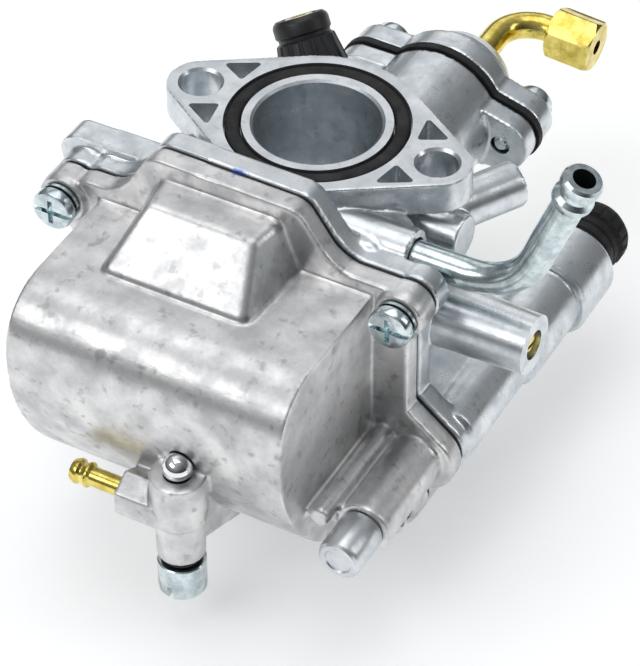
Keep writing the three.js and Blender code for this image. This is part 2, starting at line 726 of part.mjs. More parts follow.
function fastenBowl() {
  const places = ['upper_left', 'upper_right', 'lower_left', 'lower_right'];
  BOWL_SCREWS.forEach(([x, z, end], i) => {
    const washerY = SCREW_BOSS_Y - GAP;
    add(`lock_washer_${places[i]}`, ring(2.3, 3.9, [x, washerY, z], DOWN, 0.9, 14), ZINC);
    const seat = [x, washerY - 0.9 - GAP, z];
    const reach = end - 1.6 - seat[1];
    add(`bowl_screw_${places[i]}`, slottedScrew(4, 2.3, 1.85, reach, seat, DOWN), ZINC);
  });
}

function fastenCap() {
  const washerY = CAP_BASE_Y + CAP_LUG_THICKNESS + GAP;
  Object.entries(CAP_LUGS).forEach(([place, [x, z]]) => {
    add(`cap_washer_${place}`, ring(2.2, 3.8, [x, washerY, z], UP, 0.9, 14), ZINC);
    const seat = [x, washerY + 0.9 + GAP, z];
    add(`cap_screw_${place}`, slottedScrew(3.8, 2.6, 1.7, 13, seat, UP), ZINC);
  });
}

function assembleThrottle() {
  add('throttle_slide', makeSlide(), CAST);
  add('jet_needle', makeNeedle(), BRASS);
  add('needle_clip', makeNeedleClip(), STEEL);
  add('needle_retainer', ring(1.6, 7.7, [0, -4.8, SLIDE_Z], UP, 1, 24), STEEL);
  add('throttle_spring', spring(6.6, 0.55, 60.6, 7, [0, -3.4, SLIDE_Z], UP), STEEL);
  add('throttle_cap', makeCap(), CAST);
  add('cap_gasket', cut(
    capPlate(CAP_Y + GAP, CAP_Y + GAP + CAP_GASKET_THICKNESS, 0.4),
    slideRod(CAP_Y - 1, CAP_BASE_Y + 1, SLIDE_RADIUS + 0.6, 24),
    ...capLugHoles(CAP_Y - 1, CAP_BASE_Y + 1, 2.2),
  ), RUBBER);
  add('cable_elbow', makeCableElbow(), BRASS);
  add('cable_adjuster_nut', makeAdjusterNut(), BRASS);
}

function assembleAdjusters() {
  const outward = IDLE_WAY.clone().negate();
  add('idle_screw', makeIdleScrew(), BRASS);
  add('idle_knob', makeIdleKnob(), BLACK_PLASTIC);
  add('idle_spring', spring(3, 0.4, 6.8, 4, onIdleScrew(IDLE_BOSS_AT - GAP), outward), STEEL);
  add('mixture_screw', makeMixtureScrew(), BRASS);
  add('mixture_spring', spring(2.1, 0.3, 18, 6, [25.2, MIXTURE_Y, MIXTURE_Z], [1, 0, 0]), STEEL);
}

function assembleFuel() {
  add('fuel_inlet_elbow', makeInletElbow(), ZINC);
  add('float', makeFloat(), FLOAT_PLASTIC);
  const [, pinY, pinZ] = FLOAT_PIN;
  add('float_pin', rod([-12.4, pinY, pinZ], [4, pinY, pinZ], 0.6, 12), STEEL);
  add('float_needle', makeFloatNeedle(), BRASS);
  add('float_needle_seat', makeNeedleSeat(), BRASS);
  add('needle_jet', ring(1.5, 2.5, [0, -32.8, SLIDE_Z], UP, 22.4, 16), BRASS);
  add('main_jet', ring(0.7, 3.3, [0, -38, SLIDE_Z], UP, 4.9, 6), BRASS);
  add('pilot_jet', ring(0.5, 1.7, [0, -33, -42], UP, 11, 14), BRASS);
  add('starter_well_plug', turned(
    [[0, 0], [3.1, 0], [3.1, 10], [4.1, 10.3], [4.1, 18.2], [3.4, 19], [0, 19]],
    [PIPE_X, -38, WELL_Z],
    DOWN,
    20,
  ), BOWL_CAST);
  add('starter_plunger', makeStarterPlunger(), BRASS);
  add('starter_spring', spring(2.3, 0.3, 12, 5, [WELL_X, 19.4, WELL_Z], UP), STEEL);
  add('starter_cap', makeStarterCap(), BLACK_PLASTIC);
}

function assembleDrain() {
  const [low] = DRAIN_BOSS_Z;
  add('drain_screw', slottedScrew(4.4, 7.3, 1.9, 6.4, [DRAIN_X, DRAIN_Y, low - 1.6], [0, 0, -1]), ZINC);
  add('drain_seal', ring(2.3, 3.7, [DRAIN_X, DRAIN_Y, low - GAP], [0, 0, -1], 1, 14), RUBBER);
  add('drilling_ball', ballAt(BALL_RADIUS), CHROME);
  add('overflow_nipple', turned(
    [[1, 0], [1.8, 0], [1.8, 11], [2.4, 11.6], [1.9, 12.6], [1.9, 13], [2.4, 13.6],
      [1.9, 15], [1, 15], [1, 0]],
    [-0.4, DRAIN_Y, NIPPLE_Z],
    [-1, 0, 0],
    12,
  ), BRASS);
}

add('main_body', join(makeBody(), makePinStand()), CAST);
add('flange_o_ring', flangeRing(), RUBBER);
add('float_bowl', makeBowl(), BOWL_CAST);
add('bowl_gasket', cut(
  jointPlate(JOINT_Y - GAP - GASKET_THICKNESS, JOINT_Y - GAP),
  bowlHollow(-20),
  ...BOWL_SCREWS.map(([x, z]) => rod([x, -25, z], [x, -22, z], 2.2, 10)),
  pipeRod(-25, -22, 2, 10),
), RUBBER);
fastenBowl();
fastenCap();
assembleThrottle();
assembleAdjusters();
assembleFuel();
assembleDrain();

// The part stands on its intake rim, with its origin under the middle of its box.
const bounds = new THREE.Box3().setFromObject(carburettor);
const middle = bounds.getCenter(new THREE.Vector3());
carburettor.position.set(-middle.x, -middle.y, -bounds.min.z);

export default carburettor;
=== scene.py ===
"""Looks for the small-engine slide carburettor: fine castings, fasteners, brass and rubber parts.

They are built round the CAD frame and stand for its nodes.
"""

import json
import math

import bmesh
import bpy
from mathutils import Matrix, Vector


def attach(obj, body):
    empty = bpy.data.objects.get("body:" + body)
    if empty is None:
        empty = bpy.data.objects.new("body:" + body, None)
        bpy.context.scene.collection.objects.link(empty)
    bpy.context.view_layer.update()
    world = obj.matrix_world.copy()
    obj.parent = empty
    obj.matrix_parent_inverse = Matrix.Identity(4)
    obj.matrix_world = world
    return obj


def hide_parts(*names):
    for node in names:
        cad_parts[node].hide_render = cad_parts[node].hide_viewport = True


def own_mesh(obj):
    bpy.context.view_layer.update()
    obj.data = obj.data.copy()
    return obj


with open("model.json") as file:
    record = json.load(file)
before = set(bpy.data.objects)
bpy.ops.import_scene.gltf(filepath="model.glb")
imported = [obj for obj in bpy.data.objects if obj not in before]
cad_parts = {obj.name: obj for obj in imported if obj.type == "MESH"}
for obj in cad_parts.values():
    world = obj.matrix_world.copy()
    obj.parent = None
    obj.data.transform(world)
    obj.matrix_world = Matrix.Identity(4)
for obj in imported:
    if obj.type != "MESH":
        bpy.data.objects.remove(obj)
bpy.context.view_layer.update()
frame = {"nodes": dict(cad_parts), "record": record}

# ---------------------------------------------------------------- frame and sizes
# Shapes are drawn in millimetres in the design frame: its origin is where the bore meets the engine
# flange, +Z towards the engine, +Y along the throttle slide, and -Y into the float bowl.

MM = 0.001
FLANGE_MOUNT = next(m for m in frame["record"]["mounts"] if m["name"] == "engine_flange_face")
ORIGIN = Vector(FLANGE_MOUNT["pos_m"]) - Vector((0, 0.018, 0))
BODY = "carburettor_body"
VOXEL = 0.36  # the grid that castings are remeshed on
ROUNDING_GRID = 0.32  # the grid that a casting's rounding counts its smoothing steps on

GAP = 0.3
BOLT_X = 24.0
RING_GROOVE = (13.6, 16.9)
RING_DEPTH = 2.4
INTAKE_Z = -67.0
SLIDE_Z = -30.0
TUBE_RADIUS = 12.8
JOINT_Y = -23.0
BOWL_Y = -24.2
BOWL_FLANGE_Y = -28.0
DRUM_X = (-28.5, 26.0)
DRUM_FRONT = -60.5
DRUM_TOP = -8.6
DRUM_BOTTOM = -57.0
BOWL_WALL = 2.5
BOWL_SCREWS = {
    "upper_left": (-36.0, -11.0, -14.0),
    "upper_right": (31.6, -10.2, -19.0),
    "lower_left": (-34.5, -52.0, -14.0),
    "lower_right": (31.0, -56.0, -14.0),
}
SCREW_BOSS_Y = -29.3
CAP_Y = 48.0
CAP_BASE_Y = 50.1
CAP_LUGS = {"left": (-15.4, -26.6), "right": (15.4, -30.8)}
CAP_LUG_THICKNESS = 5.0
CAP_LUG_RADIUS = 5.6
WELL_X, WELL_Z, PIPE_X = 36.5, -43.0, 35.0
INLET_Y, INLET_Z = -15.0, -8.5
MIXTURE_Y, MIXTURE_Z, MIXTURE_FACE_X = -14.0, -20.5, 50.5
VALVE_X = -5.0
FLOAT_PIN_Y, FLOAT_PIN_Z = -28.5, -3.4
DRAIN_X, DRAIN_Y, NIPPLE_Z = 6.2, -61.3, -40.6
DRAIN_LOW, DRAIN_HIGH = -50.2, -31.5
IDLE_TOP = Vector((-19.5, 28, -2.3))
IDLE_WAY = Vector((0.507, -0.331, -0.797)).normalized()
IDLE_BOSS_AT = 13.0
IDLE_TIP_AT = 25.9
ELBOW_KNEE = Vector((0, 80.5, SLIDE_Z))
ELBOW_WAY = Vector((0.997, 0, -0.078)).normalized()
ELBOW_BEND = 8.0
NUT_AT = 8.8
UP, DOWN = Vector((0, 1, 0)), Vector((0, -1, 0))
X, Z = Vector((1, 0, 0)), Vector((0, 0, 1))


# ---------------------------------------------------------------- mesh making
def closed(points, faces):
    """A solid as (points, faces) with every face turned outwards."""
    shape = bmesh.new()
    corners = [shape.verts.new(point) for point in points]
    for face in faces:
        shape.faces.new([corners[i] for i in face])
    bmesh.ops.recalc_face_normals(shape, faces=shape.faces)
    shape.verts.index_update()
    result = ([v.co.copy() for v in shape.verts], [[v.index for v in f.verts] for f in shape.faces])
    shape.free()
    return result


def merged(parts):
    """Several solids in one, left overlapping."""
    points, faces = [], []
    for part_points, part_faces in parts:
        start = len(points)
        points += part_points
        faces += [[start + i for i in face] for face in part_faces]
    return points, faces


def lathe(profile, origin, way, sides=56):
    """A solid of revolution from [radius, distance along way] points; a ring profile ends where it starts."""
    origin, way = Vector(origin), Vector(way).normalized()
    turn = Z.rotation_difference(way)
    ring_shaped = profile[0] == profile[-1]
    rows, points = [], []
    for radius, along in profile[:-1] if ring_shaped else profile:
        count = sides if radius > 1e-6 else 1
        rows.append(range(len(points), len(points) + count))
        for i in range(count):
            angle = 2 * math.pi * i / sides
            local = Vector((radius * math.cos(angle), radius * math.sin(angle), along))
            points.append(origin + turn @ local)
    faces = []
    for low, high in zip(rows, [*rows[1:], rows[0]] if ring_shaped else rows[1:]):
        for i in range(sides):
            corners = [low[i % len(low)], low[(i + 1) % len(low)],
                       high[(i + 1) % len(high)], high[i % len(high)]]
            corners = list(dict.fromkeys(corners))
            if len(corners) > 2:
                faces.append(corners)
    return closed(points, faces)


def rod(start, end, radius, end_radius=None, sides=56):
    start, end = Vector(start), Vector(end)
    length = (end - start).length
    far = radius if end_radius is None else end_radius
    return lathe([[0, 0], [radius, 0], [far, length], [0, length]], start, end - start, sides)


def ring(inner, outer, origin, way, length, edge=0.15, sides=56):
    profile = [[inner, edge], [inner + edge, 0], [outer - edge, 0], [outer, edge],
               [outer, length - edge], [outer - edge, length], [inner + edge, length],
               [inner, length - edge], [inner, edge]]
    return lathe(profile, origin, way, sides)


def hull(points):
    """The convex solid round some points."""
    shape = bmesh.new()
    for point in points:
        shape.verts.new(point)
    bmesh.ops.convex_hull(shape, input=shape.verts)
    loose = [v for v in shape.verts if not v.link_faces]
    bmesh.ops.delete(shape, geom=loose, context="VERTS")
    bmesh.ops.recalc_face_normals(shape, faces=shape.faces)
    shape.verts.index_update()
    result = ([v.co.copy() for v in shape.verts], [[v.index for v in f.verts] for f in shape.faces])
    shape.free()
    return result


def block(low, high):
    return hull([(x, y, z) for x in (low[0], high[0]) for y in (low[1], high[1]) for z in (low[2], high[2])])


def web(profile, x0, x1):
    """A web of even thickness across x whose convex profile is given in y and z."""
    return hull([(x, y, z) for x in (x0, x1) for y, z in profile])


def belt(circles, steps=40):
    """The outline of a tight belt round some circles, given as (across, up, radius)."""
    points = sorted((x + r * math.cos(2 * math.pi * i / steps), y + r * math.sin(2 * math.pi * i / steps))
                    for x, y, r in circles for i in range(steps))

    def side(ordered):
        chain = []
        for point in ordered:
            while len(chain) > 1:
                (ax, ay), (bx, by) = chain[-2:]
                if (bx - ax) * (point[1] - ay) - (by - ay) * (point[0] - ax) > 1e-6:
                    break
                chain.pop()
            chain.append(point)
        return chain[:-1]

    return side(points) + side(points[::-1])


def plate(outline, axis, low, high):
    """A flat plate of the outline, square to axis, from low to high."""
    spot = {
        "x": lambda a, b, h: (h, a, b),
        "y": lambda a, b, h: (a, h, b),
        "z": lambda a, b, h: (a, b, h),
    }[axis]
    count = len(outline)
    points = [spot(a, b, h) for h in (low, high) for a, b in outline]
    faces = [list(range(count)), list(range(2 * count - 1, count - 1, -1))]
    faces += [[i, (i + 1) % count, count + (i + 1) % count, count + i] for i in range(count)]
    return closed(points, faces)


def bevelled(outline, axis, low, high, edge):
    """A plate whose rims are rounded over."""
    made = scratch(plate(outline, axis, low, high))
    bevel = made.modifiers.new("bevel", "BEVEL")
    bevel.width, bevel.segments, bevel.limit_method, bevel.angle_limit = edge, 3, "ANGLE", math.radians(60)
    bake(made)
    lump = ([v.co.copy() for v in made.data.vertices], [list(f.vertices) for f in made.data.polygons])
    discard(made)
    return lump


def sweep(path, radius, sides=28, loop=False):
    """A round bar along a path. radius is one number, or one for each point."""
    path = [Vector(p) for p in path]
    radii = radius if isinstance(radius, (list, tuple)) else [radius] * len(path)
    ways = []
    for i, point in enumerate(path):
        ahead = path[(i + 1) % len(path)] if loop or i + 1 < len(path) else None
        behind = path[i - 1] if loop or i else None
        ways.append(((ahead or point) - (behind or point)).normalized())
    across = ways[0].orthogonal().normalized()
    points = []
    for i, point in enumerate(path):
        if i:
            across = (ways[i - 1].rotation_difference(ways[i]) @ across).normalized()
        up = ways[i].cross(across)
        for j in range(sides):
            angle = 2 * math.pi * j / sides
            points.append(point + radii[i] * (math.cos(angle) * across + math.sin(angle) * up))
    faces = []
    for i in range(len(path) - 1):
        for j in range(sides):
            k = (j + 1) % sides
            faces.append([i * sides + j, i * sides + k, (i + 1) * sides + k, (i + 1) * sides + j])
    last = (len(path) - 1) * sides
    faces += [list(range(sides)), list(range(last + sides - 1, last - 1, -1))]
    return closed(points, faces)


def elbow(start, first, second, corner, bend, tail, steps=26):
    """Path points: straight along first, a bend about the corner, then straight along second."""
    start, first, second = Vector(start), Vector(first).normalized(), Vector(second).normalized()
    knee = start + corner * first
    sweep_angle = first.angle(second)
    reach = bend * math.tan(sweep_angle / 2)
    inward = (second - first.dot(second) * first).normalized()
    bend_start = knee - reach * first
    path = [start.lerp(bend_start, i / 6) for i in range(6)]
    path += [bend_start + bend * (math.sin(a) * first + (1 - math.cos(a)) * inward)
             for a in (sweep_angle * i / steps for i in range(steps + 1))]
    bend_end, end = knee + reach * second, knee + tail * second
    return path + [bend_end.lerp(end, i / 24) for i in range(1, 25)]


def coil(radius, wire, length, turns, origin, way):
    """A compression spring whose first and last turns lie flat."""
    turn = Z.rotation_difference(Vector(way).normalized())
    path = []
    steps = int(turns * 30)
    for i in range(steps + 1):
        t = i / steps
        rise = min(1, max(0, (t * turns - 0.8) / (turns - 1.6)))
        angle = 2 * math.pi * turns * t
        height = wire + (length - 2 * wire) * rise
        local = Vector((radius * math.cos(angle), radius * math.sin(angle), height))
        path.append(Vector(origin) + turn @ local)
    return sweep(path, wire, 10)


def scratch(lump):
    """A throwaway object of a solid."""
    mesh = bpy.data.meshes.new("scratch")
    mesh.from_pydata(lump[0], [], lump[1])
    made = bpy.data.objects.new("scratch", mesh)
    bpy.context.scene.collection.objects.link(made)
    return made


def bake(made):
    """Makes an object's modifiers part of its mesh."""
    bpy.context.view_layer.update()
    graph = bpy.context.evaluated_depsgraph_get()
    mesh = bpy.data.meshes.new_from_object(made.evaluated_get(graph))
    old = made.data
    made.modifiers.clear()
    made.data = mesh
    bpy.data.meshes.remove(old)


def discard(made):
    mesh = made.data
    bpy.data.objects.remove(made)
    bpy.data.meshes.remove(mesh)


def combine(made, lumps, operation):
    """Joins solids to an object's mesh, or cuts them from it, one after the other."""
    for lump in lumps:
        tool = scratch(lump)
        boolean = made.modifiers.new("boolean", "BOOLEAN")
        boolean.operation = operation
        boolean.solver = "MANIFOLD"
        boolean.object = tool
        bake(made)
        discard(tool)


def casting(lumps, rounding):
    """Overlapping solids become one skin whose corners and inside corners are rounded like a casting's."""
    made = scratch(merged(lumps))
    remesh = made.modifiers.new("remesh", "REMESH")
    remesh.mode = "VOXEL"
    remesh.voxel_size = VOXEL
    smooth = made.modifiers.new("smooth", "SMOOTH")
    smooth.factor = 0.5
    smooth.iterations = max(1, round(rounding * (ROUNDING_GRID / VOXEL) ** 2))
    bake(made)
    return made


def fused(lumps):
    made = scratch(lumps[0])
    combine(made, lumps[1:], "UNION")
    return made


def finish_piece(made, name, node, body, materials, sharp=32):
    """Moves a finished shape into the part's frame, in metres, and lets it stand for its CAD node."""
    made.name = name
    made.data.name = name
    made.data.transform(Matrix.Translation(ORIGIN) @ Matrix.Scale(MM, 4))
    made.data.materials.clear()
    for material in materials:
        made.data.materials.append(material)
    for face in made.data.polygons:
        face.use_smooth = True
    made.data.set_sharp_from_angle(angle=math.radians(sharp))
    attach(made, body)
    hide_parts(node)
    return made


# ---------------------------------------------------------------- materials
def node(tree, kind, links=(), **values):
    """Adds a shader node, sets its plain values and links its inputs."""
    made = tree.nodes.new(kind)
    for key, value in values.items():
        if hasattr(made, key):
            setattr(made, key, value)
    for socket, source in links:
        if hasattr(source, "is_output"):
            tree.links.new(source, made.inputs[socket])
        else:
            made.inputs[socket].default_value = source
    return made


def noise_at(tree, where, scale, detail=4.0, roughness=0.6):
    made = node(tree, "ShaderNodeTexNoise", [("Vector", where), ("Scale", scale), ("Detail", detail),
                                             ("Roughness", roughness)])
    return made.outputs["Fac"]


def spread(tree, value, low, high, to_low, to_high):
    made = node(tree, "ShaderNodeMapRange", [("Value", value), ("From Min", low), ("From Max", high),
                                             ("To Min", to_low), ("To Max", to_high)])
    return made.outputs["Result"]


def surface(name, colour, dark, rough, metallic, grain=0.0, grain_scale=2500.0, pits=0.0, blotch=220.0,
            stretch=(1, 1, 1), specular=0.5, coat=0.0, dab=None):
    """A procedural finish: two tones in soft blotches, uneven gloss, fine grain and optional small pits."""
    material = bpy.data.materials.new(name)
    material.use_nodes = True
    tree = material.node_tree
    shader = tree.nodes["Principled BSDF"]
    where = node(tree, "ShaderNodeTexCoord").outputs["Object"]
    where = node(tree, "ShaderNodeMapping", [("Vector", where), ("Scale", stretch)]).outputs["Vector"]
    patches = noise_at(tree, where, blotch, 5.0)
    tone = node(tree, "ShaderNodeMix", data_type="RGBA")
    tree.links.new(spread(tree, patches, 0.38, 0.66, 0.0, 1.0), tone.inputs[0])
    tone.inputs[6].default_value = (*dark, 1)
    tone.inputs[7].default_value = (*colour, 1)
    colour_out = tone.outputs[2]
    fine = noise_at(tree, where, grain_scale, 3.0, 0.7)
    if pits:
        spots = noise_at(tree, where, grain_scale * 0.32, 2.0, 0.5)
        mask = spread(tree, spots, 0.60, 0.72, 0.0, pits)
        stained = node(tree, "ShaderNodeMix", data_type="RGBA")
        tree.links.new(mask, stained.inputs[0])
        tree.links.new(colour_out, stained.inputs[6])
        stained.inputs[7].default_value = (*(0.45 * c for c in dark), 1)
        colour_out = stained.outputs[2]
    if dab:
        away = node(tree, "ShaderNodeVectorMath", [(0, where), (1, dab)], operation="DISTANCE")
        unevenness = spread(tree, fine, 0.2, 0.8, 0.0, 0.0022)
        ragged = node(tree, "ShaderNodeMath", [(0, away.outputs["Value"]), (1, unevenness)], operation="ADD")
        painted = spread(tree, ragged.outputs[0], 0.0020, 0.0030, 0.85, 0.0)
        paint = node(tree, "ShaderNodeMix", data_type="RGBA")
        tree.links.new(painted, paint.inputs[0])
        tree.links.new(colour_out, paint.inputs[6])
        paint.inputs[7].default_value = (0.10, 0.22, 0.75, 1)
        colour_out = paint.outputs[2]
    tree.links.new(colour_out, shader.inputs["Base Color"])
    tree.links.new(spread(tree, patches, 0.3, 0.7, rough * 1.2, rough * 0.8), shader.inputs["Roughness"])
    shader.inputs["Metallic"].default_value = metallic
    shader.inputs["Specular IOR Level"].default_value = specular
    shader.inputs["Coat Weight"].default_value = coat
    if grain:
        bump = node(tree, "ShaderNodeBump", [("Strength", grain), ("Distance", 0.00012), ("Height", fine)])
        tree.links.new(bump.outputs["Normal"], shader.inputs["Normal"])
    return material


DAB = ORIGIN + MM * Vector((-2.6, -23.2, 5.0))
CAST = surface("die_cast_alloy", (0.78, 0.81, 0.83), (0.57, 0.61, 0.64), 0.31, 0.95, 0.2, 1500, 0.3, dab=DAB)
MACHINED = surface("machined_alloy", (0.76, 0.78, 0.80), (0.60, 0.63, 0.66), 0.34, 0.95, 0.12, 2600, 0.2)
BOWL = surface("tumbled_bowl_alloy", (0.79, 0.785, 0.78), (0.54, 0.54, 0.545), 0.37, 0.95, 0.36, 1300,
               0.5, 160, dab=DAB)
ZINC = surface("zinc_plate", (0.76, 0.84, 0.86), (0.46, 0.54, 0.56), 0.2, 1.0, 0.08, 2200, 0.2, 420)
BRASS = surface("machined_brass", (0.93, 0.78, 0.24), (0.62, 0.48, 0.09), 0.2, 1.0, 0.08, 2600, 0.25, 380)
STEEL = surface("spring_steel", (0.70, 0.71, 0.73), (0.42, 0.43, 0.45), 0.26, 1.0, 0.08, 2600, 0.1, 400)
CHROME = surface("polished_steel", (0.88, 0.89, 0.90), (0.74, 0.75, 0.77), 0.07, 1.0, 0.02, 1500, 0.0, 300)
RUBBER = surface("black_rubber", (0.022, 0.022, 0.023), (0.009, 0.009, 0.010), 0.62, 0.0, 0.35, 2600,
                 0.0, 260,
                 specular=0.35)
PLASTIC = surface("black_plastic", (0.020, 0.020, 0.022), (0.011, 0.011, 0.012), 0.42, 0.0, 0.3, 1800,
                  0.0, 260,
                  specular=0.45)
FLOAT = surface("float_plastic", (0.060, 0.056, 0.048), (0.030, 0.028, 0.025), 0.5, 0.0, 0.2, 1800, 0.0, 260)
FINISH = {
    "cast_alloy": CAST, "bowl_alloy": BOWL, "zinc_plate": ZINC, "brass": BRASS, "steel": STEEL,
    "chrome": CHROME, "rubber": RUBBER, "black_plastic": PLASTIC, "float_plastic": FLOAT,
}


# ---------------------------------------------------------------- shared outlines
def inside_corner(corner, first, second, radius, root, inset):
    """The patch that rounds an inside corner of an outline, whose edges leave it along first and second."""
    corner, first, second = Vector(corner), Vector(first).normalized(), Vector(second).normalized()
    half = first.angle(second) / 2
    outward = (first + second).normalized()
    corner -= inset * outward / math.sin(half)
    middle = corner + outward * radius / math.sin(half)
    reach = radius / math.tan(half)
    start, end = corner + reach * first, corner + reach * second
    patch = [tuple(corner - root * outward), tuple(start - root * outward)]
    for i in range(13):
        chord = start.lerp(end, i / 12) - middle
        patch.append(tuple(middle + radius * chord.normalized()))
    return patch + [tuple(end - root * outward)]


def joint_plate(low, high, inset=0.0):
    """The joint between body and bowl, shrunk by inset."""
    main = [[-31, -10, 4], [29, -9.8, 4], [-31, -53, 4], [29, -53, 4]]
    raised = [[-16, 0.8, 4], [9.3, 0.4, 4], [-26, -12, 2], [20.4, -12, 2]]
    well = [[PIPE_X + 0.6, WELL_Z - 0.5, 6.6], [29, -35, 4.2], [27, -50, 5]]
    lugs = [[[x, z, 4.8], [0.75 * x, 0.7 * z - 9.6, 7]] for x, z, _ in BOWL_SCREWS.values()]
    shapes = [[[x, z, r - inset] for x, z, r in circles] for circles in [main, raised, well, *lugs]]
    bends = [
        ((18.6, -6), (-0.571, 0.821), (1, 0), 9, 3),
        ((-24.7, -6), (0.513, 0.859), (-1, 0), 8, 3),
        ((31.4, -35.6), (-0.35, 0.937), (0.62, -0.78), 6, 2),
    ]
    plates = [plate(belt(circles), "y", low, high) for circles in shapes]
    return plates + [plate(inside_corner(*bend, inset), "y", low, high) for bend in bends]


def drum_outline(open_y, inset):
    """The bowl's drum in y and z, shrunk by inset."""
    corner = 11 - inset
    front, top, bottom = DRUM_FRONT + inset, DRUM_TOP - inset, DRUM_BOTTOM + inset
    outline = [(open_y, bottom), (open_y, top)]
    for i in range(17):
        angle = math.pi / 2 * (1 + i / 16)
        outline.append((front + corner + corner * math.cos(angle), top - corner + corner * math.sin(angle)))
    bends = [(front, -24), (front, -37), (-48, bottom + 1), (-37, bottom)]
    for i in range(21):
        t = i / 20
        weights = [(1 - t) ** 3, 3 * t * (1 - t) ** 2, 3 * t * t * (1 - t), t ** 3]
        outline.append(tuple(sum(w * b[k] for w, b in zip(weights, bends)) for k in (0, 1)))
    return outline


def hinge_box(inset, open_y, rounding=0.0):
    left, right, top, front = -16.5 + inset, 9 - inset, 1.2 - inset, -36 + inset
    foot, flare, run = DRUM_TOP - 2 - inset, 3, 9
    corners = [Vector(corner) for corner in (
        (left, open_y, top), (right, open_y, top), (left + 1, front, top), (right - 1, front, top),
        (left - flare, open_y, foot), (right + flare, open_y, foot),
        (left - flare + 1, front - run, foot), (right + flare - 1, front - run, foot),
    )]
    if not rounding:
        return hull(corners)
    middle = sum(corners, Vector()) / len(corners)
    points = []
    for corner in corners:
        shift = Vector([-rounding if c > m else rounding for c, m in zip(corner, middle)])
        for i in range(7):
            for j in range(12):
                tilt, angle = math.pi * i / 6, math.pi * j / 6
                points.append(corner + shift + rounding * Vector((
                    math.sin(tilt) * math.cos(angle), math.sin(tilt) * math.sin(angle), math.cos(tilt))))
    return hull(points)


def bowl_hollow(open_y):
    return [
        plate(drum_outline(open_y, BOWL_WALL), "x", DRUM_X[0] + BOWL_WALL, DRUM_X[1] - BOWL_WALL),
        hinge_box(BOWL_WALL, open_y),
    ]


def cap_plate(low, high, extra=0.0):
    parts = [rod((0, low, SLIDE_Z), (0, high, SLIDE_Z), TUBE_RADIUS + extra)]
    for x, z in CAP_LUGS.values():
        parts.append(plate(belt([[x, z, CAP_LUG_RADIUS + extra], [0, SLIDE_Z, 9]]), "y", low, high))
    return parts


def lug_holes(low, high, radius):
    return [rod((x, low, z), (x, high, z), radius, sides=36) for x, z in CAP_LUGS.values()]


def on_idle(distance):
    return IDLE_TOP + IDLE_WAY * distance


def ball(radius):
    """The ball at the top of the drain passage, or its pocket."""
    arc = [[radius * math.sin(math.pi * i / 28), -radius * math.cos(math.pi * i / 28)] for i in range(29)]
    arc[0][0] = arc[-1][0] = 0
    return lathe(arc, (DRAIN_X, DRAIN_Y, DRAIN_HIGH + 1.4), Z, 56)


def along_y(x, z, low, high, radius, sides=56):
    return rod((x, low, z), (x, high, z), radius, sides=sides)


